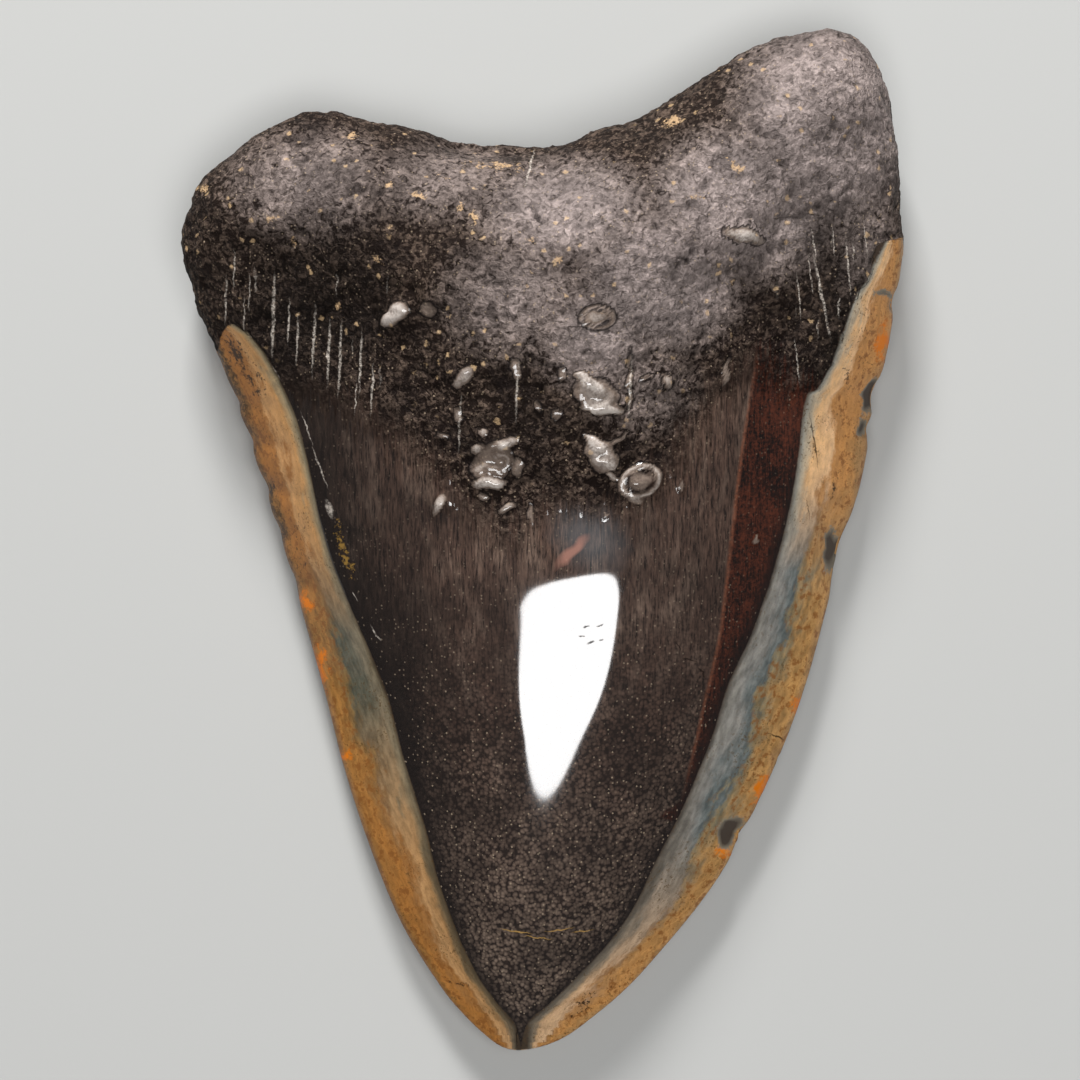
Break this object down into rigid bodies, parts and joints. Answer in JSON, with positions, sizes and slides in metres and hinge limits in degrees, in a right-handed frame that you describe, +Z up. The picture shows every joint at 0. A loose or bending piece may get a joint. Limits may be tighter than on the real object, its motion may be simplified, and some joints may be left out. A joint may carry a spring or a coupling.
{
  "type": "megalodon tooth",
  "caption": "Polished fossil megalodon tooth lying on its flat outer face: broad triangular crown with ground enamel edges, thick two-lobed pitted root.",
  "frame": {"origin": "middle of the tooth's outline from above, on the plane it rests on", "axes": "+Z up, out of the lingual face; +Y from the tip to the root; +X to the right as seen from above"},
  "size_m": [0.094, 0.1338, 0.0277],
  "materials": {
    "tooth": "polished dark fossil dentine with tan enamel edges and a rough root"
  },
  "bodies": {
    "root": {"tooth": "tooth"}
  },
  "joints": []
}
